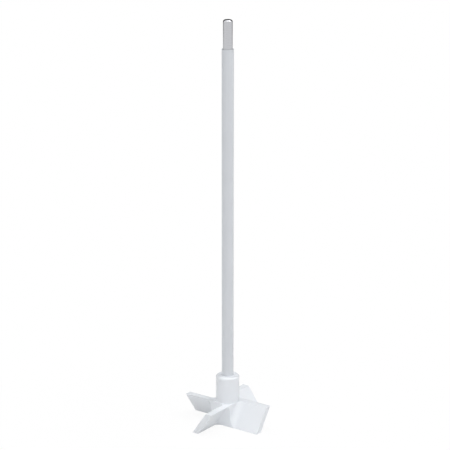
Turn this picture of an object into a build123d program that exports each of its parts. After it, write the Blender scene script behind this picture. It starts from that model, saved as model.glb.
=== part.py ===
from build123d import *

import os
from math import cos, radians, tan

# A laboratory stirrer shaft. A stainless rod runs down inside a PTFE sheath, and an
# impeller of solid PTFE, a hub with four leaning blades, closes its lower end. The
# top of the rod is bare, for the stirrer's chuck, and its shoulder and the hub hold
# the sheath between them.
#
# Millimetres. +Z is up the shaft. The origin is on the shaft's axis at the underside
# of the blades, and one blade points along +X.

# Rod and sheath
overall_length = 350.0  # underside of the blades to the top of the rod
rod_diameter = 8.0  # at the bare end, the size that a stirrer's chuck takes
rod_bare_length = 24.0  # above the sheath
rod_top_round = 1.75  # rim of the bare end
rod_shoulder = 0.5  # turned off the rod's radius inside the sheath
rod_foot_chamfer = 0.5
sheath_wall = 1.5
sheath_top_round = 0.2  # outer rim of the sheath's cut end

# Impeller
blade_span = 75.0  # tip to tip across the axis
blade_height = 20.0
blade_thickness = 5.0  # square to the blade's faces
blade_tilt = 35.0  # degrees from upright
blade_root_radius = 5.0  # left by the cutter where a blade meets the boss
hub_wall = 5.0  # PTFE round the sheath
hub_height = 23.0  # above the blades
hub_top_chamfer = 1.0

# Socket in the impeller
sheath_seat_depth = 12.0  # sheath inside the hub
socket_floor = 8.0  # PTFE under the point of the rod's hole
drill_point_angle = 118.0

rod_radius = rod_diameter / 2
core_radius = rod_radius - rod_shoulder
sheath_radius = core_radius + sheath_wall
sheath_top = overall_length - rod_bare_length

hub_top = blade_height + hub_height
sheath_foot = hub_top - sheath_seat_depth
drill_point_depth = core_radius / tan(radians(drill_point_angle / 2))
rod_foot = socket_floor + drill_point_depth

# A leaning blade reaches this far to each side of its arm, with its upper edge on one
# side and its lower edge on the other. The slots beside the next blade end in the same
# plane, so the blades stand on a boss that is square in plan.
lean_offset = blade_height / 2 * tan(radians(blade_tilt))
boss_half_width = lean_offset + blade_thickness / 2 / cos(radians(blade_tilt))

cutter_reach = 2 * (blade_span + blade_height)  # clear of the blank on every side
out_along_arm = (Align.MIN, Align.CENTER)


# Stainless rod, turned from bar: the bare end, the shoulder and the core
with BuildPart() as steel_core:
    with BuildSketch(Plane.XZ):
        with BuildLine():
            Polyline(
                (0, overall_length),
                (rod_radius, overall_length),
                (rod_radius, sheath_top),
                (core_radius, sheath_top),
                (core_radius, rod_foot),
                (0, rod_foot),
                close=True,
            )
        make_face()
    revolve(axis=Axis.Z)
    fillet(steel_core.edges().sort_by(Axis.Z)[-1], rod_top_round)
    chamfer(steel_core.edges().sort_by(Axis.Z)[0], rod_foot_chamfer)


# PTFE sheath, a tube over the core from its seat in the hub to the shoulder
with BuildPart() as ptfe_sheath:
    with BuildSketch(Plane.XY.offset(sheath_foot)):
        Circle(sheath_radius)
        Circle(core_radius, mode=Mode.SUBTRACT)
    extrude(amount=sheath_top - sheath_foot)
    cut_end = ptfe_sheath.faces().sort_by(Axis.Z)[-1]
    fillet(cut_end.outer_wire().edges(), sheath_top_round)


# PTFE impeller, milled and bored from one block
with BuildPart() as impeller:
    with BuildSketch():
        Rectangle(blade_span, blade_span)
    extrude(amount=blade_height)

    # Two slanted slots free each blade. In the section square to the slant, X runs
    # out along the arm and Y through the blade, and the cutter leaves round roots.
    for arm_angle in (0, 90, 180, 270):
        arm = Location((0, 0, blade_height / 2), (0, 0, arm_angle))
        lean = Location((0, 0, 0), (-blade_tilt, 0, 0))
        with BuildSketch(Plane(arm * lean)) as slots:
            with Locations((boss_half_width, 0)):
                Rectangle(cutter_reach, 2 * cutter_reach, align=out_along_arm)
                Rectangle(cutter_reach, blade_thickness, align=out_along_arm, mode=Mode.SUBTRACT)
            roots = slots.vertices().group_by(Axis.X)[0].sort_by(Axis.Y)[1:3]
            fillet(roots, blade_root_radius)
        extrude(amount=cutter_reach, both=True, mode=Mode.SUBTRACT)

    # Hub
    with BuildSketch(Plane.XY.offset(blade_height)):
        Circle(sheath_radius + hub_wall)
    extrude(amount=hub_height)
    chamfer(impeller.edges().sort_by(Axis.Z)[-1], hub_top_chamfer)

    # Blind socket: the sheath's seat, then the core's hole down to its drill point
    with BuildSketch(Plane.XZ):
        with BuildLine():
            Polyline(
                (0, hub_top),
                (sheath_radius, hub_top),
                (sheath_radius, sheath_foot),
                (core_radius, sheath_foot),
                (core_radius, rod_foot),
                (0, socket_floor),
                close=True,
            )
        make_face()
    revolve(axis=Axis.Z, mode=Mode.SUBTRACT)


steel_core.part.label = "steel_core"
ptfe_sheath.part.label = "ptfe_sheath"
impeller.part.label = "impeller"

os.makedirs("parts", exist_ok=True)
export_step(steel_core.part, "parts/steel_core.step")
export_step(ptfe_sheath.part, "parts/ptfe_sheath.step")
export_step(impeller.part, "parts/impeller.step")
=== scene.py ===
import math

import bmesh
import bpy
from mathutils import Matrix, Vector
from mathutils.bvhtree import BVHTree
from mathutils.interpolate import poly_3d_calc


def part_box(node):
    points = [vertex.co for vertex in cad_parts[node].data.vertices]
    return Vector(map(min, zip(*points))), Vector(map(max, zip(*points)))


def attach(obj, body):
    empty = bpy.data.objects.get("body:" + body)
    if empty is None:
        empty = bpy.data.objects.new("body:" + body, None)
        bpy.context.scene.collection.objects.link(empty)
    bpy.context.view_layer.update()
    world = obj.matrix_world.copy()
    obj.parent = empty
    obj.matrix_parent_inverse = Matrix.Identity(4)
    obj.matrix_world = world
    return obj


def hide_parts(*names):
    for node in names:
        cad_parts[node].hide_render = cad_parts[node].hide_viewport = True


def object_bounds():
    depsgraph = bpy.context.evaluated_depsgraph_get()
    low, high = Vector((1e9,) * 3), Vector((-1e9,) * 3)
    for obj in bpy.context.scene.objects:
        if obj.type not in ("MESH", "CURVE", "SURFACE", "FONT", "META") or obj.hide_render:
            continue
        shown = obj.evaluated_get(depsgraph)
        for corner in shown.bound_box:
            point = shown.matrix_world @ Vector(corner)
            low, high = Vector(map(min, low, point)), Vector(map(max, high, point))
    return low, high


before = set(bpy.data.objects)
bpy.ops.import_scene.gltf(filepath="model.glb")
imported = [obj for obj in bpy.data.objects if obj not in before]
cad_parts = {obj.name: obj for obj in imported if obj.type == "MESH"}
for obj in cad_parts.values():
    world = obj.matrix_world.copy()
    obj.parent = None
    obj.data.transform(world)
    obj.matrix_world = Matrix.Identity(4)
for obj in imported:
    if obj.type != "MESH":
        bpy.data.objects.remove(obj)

cad_low, cad_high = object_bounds()


# Camera
# A long lens looks down on the shaft from between two blades, as in the picture. The
# whole shaft fills the frame from the bare steel end to the nearest blade's tip.
view_azimuth = math.radians(35.63)  # round the shaft from the view along +Y
view_pitch = math.radians(16.45)  # down from level
view_distance = 1.499
aim_height = 0.1767
aim_to_left = 0.0023
lens_mm = 143.4

to_camera = Vector(
    (
        math.sin(view_azimuth) * math.cos(view_pitch),
        -math.cos(view_azimuth) * math.cos(view_pitch),
        math.sin(view_pitch),
    )
)
to_right = Vector((math.cos(view_azimuth), math.sin(view_azimuth), 0))

camera_data = bpy.data.cameras.new("camera")
camera_data.lens = lens_mm
camera_data.clip_start = 0.01
camera_data.clip_end = 50
camera = bpy.data.objects.new("camera", camera_data)
camera.location = to_camera * view_distance - to_right * aim_to_left + Vector((0, 0, aim_height))
camera.rotation_mode = "QUATERNION"
camera.rotation_quaternion = (-to_camera).to_track_quat("-Z", "Y")
bpy.context.scene.collection.objects.link(camera)
bpy.context.scene.camera = camera

bpy.context.scene.view_settings.view_transform = "Standard"


# Bench and white surround
# The shaft stands by itself on a seamless white bench, which shows only a faint shadow
# close to the blades and runs back into a white background.
bench_reach = 9.0
bench_white = 0.93
bench_bounce = 0.72  # the same for the light that it throws back on the shaft
bench_plain_share = 0.88  # of what the camera sees near the shaft, the rest is lit
bench_mirrored_share = 0.35  # the same in reflections
lit_out_to = 0.07  # from the shaft's foot
white_from = 0.22


def new_material(name):
    """A material with only its output left, its node tree and that output."""
    material = bpy.data.materials.new(name)
    material.use_nodes = True
    tree = material.node_tree
    for node in list(tree.nodes):
        tree.nodes.remove(node)
    return material, tree, tree.nodes.new("ShaderNodeOutputMaterial")


def feed(tree, socket, value):
    """Give a socket a number, or link the socket that makes its value."""
    if isinstance(value, (int, float)):
        socket.default_value = value
    else:
        tree.links.new(value, socket)


def arithmetic(tree, operation, first, second=0.0):
    """A Math node's result, from sockets or numbers."""
    node = tree.nodes.new("ShaderNodeMath")
    node.operation = operation
    feed(tree, node.inputs[0], first)
    feed(tree, node.inputs[1], second)
    return node.outputs[0]


def ranged(tree, value, start, end, low, high):
    """A value that runs from low to high while another runs from start to end."""
    node = tree.nodes.new("ShaderNodeMapRange")
    feed(tree, node.inputs["Value"], value)
    node.inputs["From Min"].default_value = start
    node.inputs["From Max"].default_value = end
    feed(tree, node.inputs["To Min"], low)
    feed(tree, node.inputs["To Max"], high)
    return node.outputs["Result"]


def seen_directly(tree):
    """1 for what the camera sees, straight, in a reflection or through glass, else 0."""
    path = tree.nodes.new("ShaderNodeLightPath")
    straight_or_mirrored = arithmetic(
        tree, "MAXIMUM", path.outputs["Is Camera Ray"], path.outputs["Is Glossy Ray"]
    )
    return arithmetic(tree, "MAXIMUM", straight_or_mirrored, path.outputs["Is Transmission Ray"])


def bench_material():
    """White laminate near the shaft, which passes into plain white further out."""
    material, tree, output = new_material("white_bench")
    path = tree.nodes.new("ShaderNodeLightPath")
    laminate = tree.nodes.new("ShaderNodeBsdfDiffuse")
    tree.links.new(
        ranged(tree, path.outputs["Is Diffuse Ray"], 0, 1, bench_white, bench_bounce),
        laminate.inputs["Color"],
    )
    plain_white = tree.nodes.new("ShaderNodeEmission")
    place = tree.nodes.new("ShaderNodeNewGeometry")
    from_shaft = tree.nodes.new("ShaderNodeVectorMath")
    from_shaft.operation = "LENGTH"
    tree.links.new(place.outputs["Position"], from_shaft.inputs[0])
    near = ranged(
        tree, path.outputs["Is Camera Ray"], 0, 1, bench_mirrored_share, bench_plain_share
    )
    share = ranged(tree, from_shaft.outputs["Value"], lit_out_to, white_from, near, 1)
    mix = tree.nodes.new("ShaderNodeMixShader")
    tree.links.new(arithmetic(tree, "MULTIPLY", seen_directly(tree), share), mix.inputs["Fac"])
    tree.links.new(laminate.outputs[0], mix.inputs[1])
    tree.links.new(plain_white.outputs[0], mix.inputs[2])
    tree.links.new(mix.outputs[0], output.inputs["Surface"])
    return material


bench_mesh = bpy.data.meshes.new("bench")
bench_corners = [(-1, -1), (1, -1), (1, 1), (-1, 1)]
bench_mesh.from_pydata(
    [(x * bench_reach, y * bench_reach, cad_low.z) for x, y in bench_corners], [], [(0, 1, 2, 3)]
)
bench = bpy.data.objects.new("bench", bench_mesh)
bench_mesh.materials.append(bench_material())
bpy.context.scene.collection.objects.link(bench)


# Studio light
# Soft panels light the shaft from above, from the camera's side, from the right and from
# behind on the left, and an even surround fills the rest. A dark card stands behind it,
# which only reflections see, and gives the steel its dark cap and edges.
surround_level = 0.388
white_at_one_metre = math.pi**2  # watts of a panel that lights a face to plain white
panel_distance = 2.0
card_radius = 1.0
card_foot = 0.16
card_head = 2.3
card_spread = math.radians(70)  # to each side of straight behind the shaft
card_steps = 24
card_level = 0.07

world = bpy.data.worlds.new("studio")
world.use_nodes = True
bpy.context.scene.world = world
sky = world.node_tree
for node in list(sky.nodes):
    sky.nodes.remove(node)
surround = sky.nodes.new("ShaderNodeBackground")
surround.inputs["Color"].default_value = (1, 1, 1, 1)
surround.inputs["Strength"].default_value = surround_level
backdrop = sky.nodes.new("ShaderNodeBackground")
backdrop.inputs["Color"].default_value = (1, 1, 1, 1)
sky_mix = sky.nodes.new("ShaderNodeMixShader")
sky_output = sky.nodes.new("ShaderNodeOutputWorld")
sky.links.new(seen_directly(sky), sky_mix.inputs["Fac"])
sky.links.new(surround.outputs[0], sky_mix.inputs[1])
sky.links.new(backdrop.outputs[0], sky_mix.inputs[2])
sky.links.new(sky_mix.outputs[0], sky_output.inputs["Surface"])


def soft_panel(name, to_the_right, elevation, level, width, height):
    """A panel that faces the impeller, placed by its angles from the camera."""
    azimuth = view_azimuth + math.radians(to_the_right)
    rise = math.radians(elevation)
    way = Vector(
        (math.sin(azimuth) * math.cos(rise), -math.cos(azimuth) * math.cos(rise), math.sin(rise))
    )
    light = bpy.data.lights.new(name, "AREA")
    light.shape = "RECTANGLE"
    light.size = width
    light.size_y = height
    light.energy = level * white_at_one_metre * panel_distance**2
    panel = bpy.data.objects.new(name, light)
    panel.location = way * panel_distance
    panel.rotation_mode = "QUATERNION"
    panel.rotation_quaternion = way.to_track_quat("Z", "Y")
    panel.visible_camera = False
    bpy.context.scene.collection.objects.link(panel)
    return panel


front = soft_panel("front_panel", to_the_right=0, elevation=25, level=0.27, width=1.6, height=1.0)
above = soft_panel("above_panel", to_the_right=0, elevation=73, level=0.13, width=2.4, height=0.8)
strip = soft_panel("strip_panel", to_the_right=0, elevation=73, level=0.13, width=2.4, height=0.8)
soft_panel("top_panel", to_the_right=0, elevation=89, level=0.18, width=1.2, height=1.2)
soft_panel("side_panel", to_the_right=90, elevation=60, level=0.295, width=1.2, height=1.2)
soft_panel("back_panel", to_the_right=-120, elevation=50, level=0.145, width=1.2, height=1.2)
strip.visible_diffuse = False  # it is there for reflections, in the place of the one above
for even in (front, above):  # no shadow, so that the blades' undersides stay even
    even.visible_glossy = False
    even.data.use_shadow = False
    even.data.cycles.use_multiple_importance_sampling = False  # as it lets some shadow back in

card_mesh = bpy.data.meshes.new("dark_card")
card_ring = bmesh.new()
card_columns = []
for step in range(card_steps + 1):
    angle = view_azimuth + math.pi + card_spread * (2 * step / card_steps - 1)
    across, along = card_radius * math.sin(angle), -card_radius * math.cos(angle)
    foot = card_ring.verts.new((across, along, card_foot))
    head = card_ring.verts.new((across, along, card_head))
    card_columns.append((foot, head))
for (foot, head), (next_foot, next_head) in zip(card_columns, card_columns[1:]):
    card_ring.faces.new((foot, next_foot, next_head, head))
card_ring.to_mesh(card_mesh)
card_ring.free()
dark_card = bpy.data.objects.new("dark_card", card_mesh)
card_material, card_tree, card_output = new_material("dark_card")
card_shade = card_tree.nodes.new("ShaderNodeEmission")
card_shade.inputs["Strength"].default_value = card_level
card_tree.links.new(card_shade.outputs[0], card_output.inputs["Surface"])
card_mesh.materials.append(card_material)
bpy.context.scene.collection.objects.link(dark_card)
dark_card.visible_camera = False
dark_card.visible_diffuse = False
dark_card.visible_transmission = False
dark_card.visible_shadow = False


# Stainless rod
# The shaft's core, a turned and ground stainless rod. It runs down inside the sheath
# into the hub, and its bare upper end, with a well rounded rim, goes into the chuck.
rod_low, rod_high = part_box("steel_core")
sheath_low, sheath_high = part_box("ptfe_sheath")
rod_radius = rod_high.x
rod_rim_round = 0.00175
sheath_wall = 0.0015
core_radius = sheath_high.x - sheath_wall
rod_foot_chamfer = 0.0005
steel_colour = (0.56, 0.565, 0.59, 1)
steel_roughness = 0.28
polished_roughness = 0.18  # of the rounded end
grinding_mark = 0.00012  # width of one mark round the rod
sharp_angle = math.radians(30)
weld_distance = 1e-7
whole_noise = (0.25, 0.75)  # nearly all of a noise's values, from 0 to 1
usual_noise = (0.3, 0.7)  # most of them


def quarter_round(centre_radius, centre_height, round_radius, start, steps=10):
    """Points of a quarter circle in a half section, clockwise from an angle in degrees."""
    points = []
    for step in range(steps + 1):
        angle = math.radians(start - 90 * step / steps)
        points.append(
            (
                centre_radius + round_radius * math.cos(angle),
                centre_height + round_radius * math.sin(angle),
            )
        )
    return points


def turned(name, section, closed=False, steps=128):
    """A piece turned from its half section, a list of radius and height."""
    shape = bmesh.new()
    corners = [shape.verts.new((radius, 0, height)) for radius, height in section]
    pairs = list(zip(corners, corners[1:]))
    if closed:
        pairs.append((corners[-1], corners[0]))
    edges = [shape.edges.new(pair) for pair in pairs]
    bmesh.ops.spin(
        shape, geom=corners + edges, cent=(0, 0, 0), axis=(0, 0, 1), angle=math.tau, steps=steps
    )
    bmesh.ops.remove_doubles(shape, verts=shape.verts, dist=weld_distance)
    piece = finished(name, shape)
    evened = piece.modifiers.new("weighted_normals", "WEIGHTED_NORMAL")
    evened.keep_sharp = True
    return piece


def finished(name, shape, sharp_over=sharp_angle):
    """A mesh object from a closed shape, smooth but for the edges that are sharp."""
    bmesh.ops.recalc_face_normals(shape, faces=shape.faces)
    for face in shape.faces:
        face.smooth = True
    for edge in shape.edges:
        edge.smooth = edge.calc_face_angle(0) < sharp_over
    mesh = bpy.data.meshes.new(name)
    shape.to_mesh(mesh)
    shape.free()
    piece = bpy.data.objects.new(name, mesh)
    bpy.context.scene.collection.objects.link(piece)
    return piece


def on_shaft(tree, what="Object"):
    """X, Y and Z of the point on the shaft, in metres, or of another coordinate."""
    coordinates = tree.nodes.new("ShaderNodeTexCoord")
    parts = tree.nodes.new("ShaderNodeSeparateXYZ")
    tree.links.new(coordinates.outputs[what], parts.inputs[0])
    return parts.outputs


def stretched_noise(tree, scale, detail=2.0):
    """Noise with so many grains to the metre along X, Y and Z."""
    coordinates = tree.nodes.new("ShaderNodeTexCoord")
    sized = tree.nodes.new("ShaderNodeVectorMath")
    sized.operation = "MULTIPLY"
    tree.links.new(coordinates.outputs["Object"], sized.inputs[0])
    sized.inputs[1].default_value = scale
    noise = tree.nodes.new("ShaderNodeTexNoise")
    noise.inputs["Scale"].default_value = 1
    noise.inputs["Detail"].default_value = detail
    tree.links.new(sized.outputs[0], noise.inputs["Vector"])
    return noise.outputs["Fac"]


def raised(tree, shader, height, strength, distance):
    """Turn a shader's normal as if its surface rose and fell by a value times a distance."""
    bump = tree.nodes.new("ShaderNodeBump")
    bump.inputs["Strength"].default_value = strength
    bump.inputs["Distance"].default_value = distance
    tree.links.new(height, bump.inputs["Height"])
    tree.links.new(bump.outputs[0], shader.inputs["Normal"])


def tinted(tree, colour, value, lightest, darkest, share=1.0):
    """A colour that is scaled between two strengths by a value from 0 to 1, and by a share."""
    uneven = ranged(tree, value, *whole_noise, darkest, lightest)
    strength = arithmetic(tree, "MULTIPLY", uneven, share)
    shade = tree.nodes.new("ShaderNodeVectorMath")
    shade.operation = "SCALE"
    shade.inputs[0].default_value = colour[:3]
    tree.links.new(strength, shade.inputs["Scale"])
    return shade.outputs[0]


def varied(tree, noise, middle, spread):
    """A value that strays by a spread to each side of a middle, as a noise does."""
    return ranged(tree, noise, *usual_noise, middle - spread, middle + spread)


def steel_material():
    """Ground stainless steel, with faint marks round the rod and a polished end."""
    material, tree, output = new_material("ground_stainless")
    shader = tree.nodes.new("ShaderNodeBsdfPrincipled")
    shader.inputs["Metallic"].default_value = 1
    marks = stretched_noise(tree, (120, 120, 1 / grinding_mark), detail=3)
    tree.links.new(tinted(tree, steel_colour, marks, 1.01, 0.99), shader.inputs["Base Color"])
    ground = varied(tree, marks, steel_roughness, 0.01)
    rim_foot = rod_high.z - rod_rim_round
    height = on_shaft(tree)["Z"]
    tree.links.new(
        ranged(tree, height, rim_foot, rim_foot + rod_rim_round / 3, ground, polished_roughness),
        shader.inputs["Roughness"],
    )
    tree.links.new(shader.outputs[0], output.inputs["Surface"])
    return material


rod_section = [
    (0, rod_low.z),
    (core_radius - rod_foot_chamfer, rod_low.z),
    (core_radius, rod_low.z + rod_foot_chamfer),
    (core_radius, sheath_high.z),
    (rod_radius, sheath_high.z),
]
rim = quarter_round(rod_radius - rod_rim_round, rod_high.z - rod_rim_round, rod_rim_round, 90)
rod_section += reversed(rim)
rod_section.append((0, rod_high.z))
rod = turned("stainless_rod", rod_section)
rod.data.materials.append(steel_material())
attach(rod, "root")
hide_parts("steel_core")


# PTFE sheath
# A tube of PTFE over the rod, held between the rod's shoulder and the hub. It is
# waxy, smooth and a little greyer than the impeller, as the steel shows through it,
# and its cut end is painted darker, as painted shade beside the rod.
sheath_radius = sheath_high.x
sheath_edge_round = 0.0002
sheath_colour = (0.69, 0.715, 0.75, 1)
sheath_roughness = 0.36
cut_end_painted_shade = 0.55  # painted shade on the cut end beside the rod, a share of the sheath's colour
ptfe_refraction = 1.45
ptfe_depth_share = 0.08  # of the light that goes in under the surface
ptfe_depth = 0.0015


def ptfe_shader(tree, output):
    """Waxy fluoroplastic, which lets a little light in under its surface."""
    shader = tree.nodes.new("ShaderNodeBsdfPrincipled")
    shader.inputs["IOR"].default_value = ptfe_refraction
    shader.inputs["Subsurface Weight"].default_value = ptfe_depth_share
    shader.inputs["Subsurface Radius"].default_value = (1, 1, 1)
    shader.inputs["Subsurface Scale"].default_value = ptfe_depth
    tree.links.new(shader.outputs[0], output.inputs["Surface"])
    return shader


def sheath_material():
    """Extruded tube, with faint streaks along it, cloudiness in the wall and painted shade on its cut end.
    """
    material, tree, output = new_material("ptfe_tube")
    shader = ptfe_shader(tree, output)
    streaks = stretched_noise(tree, (1500, 1500, 12), detail=2)
    clouds = stretched_noise(tree, (120, 120, 60), detail=3)
    blend = ranged(tree, 0.4, 0, 1, streaks, clouds)
    round_foot = sheath_high.z - sheath_edge_round
    height = on_shaft(tree)["Z"]
    # painted shade: the cut end is darkened down to a share of the sheath's colour
    share = ranged(tree, height, round_foot, sheath_high.z, 1, cut_end_painted_shade)
    tree.links.new(
        tinted(tree, sheath_colour, blend, 1.02, 0.98, share), shader.inputs["Base Color"]
    )
    tree.links.new(varied(tree, streaks, sheath_roughness, 0.04), shader.inputs["Roughness"])
    raised(tree, shader, streaks, strength=0.1, distance=0.00002)
    return material


sheath_section = [
    (core_radius, sheath_low.z),
    (sheath_radius, sheath_low.z),
]
edge = quarter_round(
    sheath_radius - sheath_edge_round,
    sheath_high.z - sheath_edge_round,
    sheath_edge_round,
    90,
    steps=4,
)
sheath_section += reversed(edge)
sheath_section.append((core_radius, sheath_high.z))
sheath = turned("sheath_tube", sheath_section, closed=True)
sheath.data.materials.append(sheath_material())
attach(sheath, "root")
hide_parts("ptfe_sheath")


# Impeller
# Hub and blades are one block of PTFE, turned, milled and bored, and its edges are
# broken by hand. It is screwed over the foot of the rod.
hub_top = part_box("impeller")[1].z
blade_height = 0.020
blade_thickness = 0.005
blade_tilt = math.radians(35)
boss_half_width = blade_height / 2 * math.tan(blade_tilt) + blade_thickness / 2 / math.cos(blade_tilt)
edge_break = 0.00015
impeller_colour = (0.835, 0.86, 0.895, 1)
impeller_roughness = 0.25
tool_pitch = 0.0003  # between the marks of the lathe, and of the cutter
level_over = 0.9  # of the normal's height, for a flat face that was turned
seam = 1e-6
on_plane_within = 1e-5
boss_wall_reach = 0.015  # from the axis
coplanar = math.radians(0.5)
same_way = 0.999  # of two normals' dot product


def on_boss_wall(edge):
    """Whether an edge bounds a wall of the square boss, where its break would fold over."""
    for across, along in ((0, 1), (1, 0)):
        on_plane = all(
            abs(abs(v.co[across]) - boss_half_width) < on_plane_within for v in edge.verts
        )
        if on_plane and min(abs(v.co[along]) for v in edge.verts) < boss_wall_reach:
            return True
    return False


def is_broken(edge):
    """Whether the maker breaks this edge: outside corners, but not in the socket."""
    if not edge.is_convex or edge.calc_face_angle(0) < sharp_angle:
        return False
    middle = (edge.verts[0].co + edge.verts[1].co) / 2
    from_axis = math.hypot(middle.x, middle.y)
    in_socket = from_axis < sheath_radius + seam and seam < middle.z < hub_top - seam
    return not in_socket and not on_boss_wall(edge)


def tool_marks(tree):
    """Uneven bands: rings on the hub and the flat faces, lines across the blades."""
    x, y, z = on_shaft(tree)
    squares = arithmetic(tree, "ADD", arithmetic(tree, "POWER", x, 2), arithmetic(tree, "POWER", y, 2))
    from_axis = arithmetic(tree, "SQRT", squares)
    turning = arithmetic(tree, "ADD", z, arithmetic(tree, "MULTIPLY", from_axis, 2))
    milling = arithmetic(tree, "MAXIMUM", arithmetic(tree, "ABSOLUTE", x), arithmetic(tree, "ABSOLUTE", y))
    level = arithmetic(tree, "ABSOLUTE", on_shaft(tree, "Normal")["Z"])
    is_turned = arithmetic(
        tree,
        "MAXIMUM",
        arithmetic(tree, "GREATER_THAN", level, level_over),
        arithmetic(tree, "GREATER_THAN", z, blade_height + edge_break),
    )
    noise = tree.nodes.new("ShaderNodeTexNoise")
    noise.noise_dimensions = "1D"
    noise.inputs["Scale"].default_value = 1 / tool_pitch
    noise.inputs["Detail"].default_value = 1
    tree.links.new(ranged(tree, is_turned, 0, 1, milling, turning), noise.inputs["W"])
    return noise.outputs["Fac"]


def ptfe_block_material():
    """Machined PTFE, faintly cloudy, with the marks of the lathe and the cutter."""
    material, tree, output = new_material("ptfe_block")
    shader = ptfe_shader(tree, output)
    clouds = stretched_noise(tree, (90, 90, 90), detail=4)
    marks = tool_marks(tree)
    tree.links.new(tinted(tree, impeller_colour, clouds, 1.005, 0.99), shader.inputs["Base Color"])
    tree.links.new(varied(tree, marks, impeller_roughness, 0.02), shader.inputs["Roughness"])
    raised(tree, shader, marks, strength=0.3, distance=0.000004)
    return material


block = bmesh.new()
block.from_mesh(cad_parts["impeller"].data)
bmesh.ops.remove_doubles(block, verts=block.verts, dist=seam)
bmesh.ops.dissolve_limit(block, angle_limit=coplanar, verts=block.verts, edges=block.edges)
broken = [edge for edge in block.edges if is_broken(edge)]
rounded = bmesh.ops.bevel(
    block,
    geom=broken,
    offset=edge_break,
    offset_type="OFFSET",
    segments=2,
    profile=0.5,
    affect="EDGES",
    clamp_overlap=False,
)
breaks = set(rounded["faces"])
bmesh.ops.recalc_face_normals(block, faces=block.faces)

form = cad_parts["impeller"].data
form_tree = BVHTree.FromPolygons(
    [vertex.co for vertex in form.vertices], [face.vertices for face in form.polygons]
)


def form_normal(point, facing):
    """The smooth normal of the CAD surface beside a point, on the side that faces one way."""
    near = form_tree.find_nearest_range(point, 3 * edge_break)
    matched = [hit for hit in near if hit[1].dot(facing) > same_way]
    if not matched:
        return facing
    _, _, index, _ = min(matched, key=lambda hit: hit[3])
    face = form.polygons[index]
    shares = poly_3d_calc([form.vertices[v].co for v in face.vertices], point)
    normals = [form.corner_normals[corner].vector for corner in face.loop_indices]
    return sum((n * share for n, share in zip(normals, shares)), Vector()).normalized()


def corner_normal(corner):
    """The normal at a face's corner, which on an edge break turns from side to side."""
    if corner.face not in breaks:
        return form_normal(corner.vert.co, corner.face.normal)
    sides = [face for face in corner.vert.link_faces if face not in breaks]
    if not sides:
        return corner.vert.normal
    side = max(sides, key=lambda face: face.normal.dot(corner.face.normal))
    return form_normal(corner.vert.co, side.normal)


block.normal_update()
corner_normals = [corner_normal(corner) for face in block.faces for corner in face.loops]
impeller = finished("machined_impeller", block, sharp_over=math.radians(50))
impeller.data.normals_split_custom_set(corner_normals)
impeller.data.materials.append(ptfe_block_material())
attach(impeller, "root")
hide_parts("impeller")
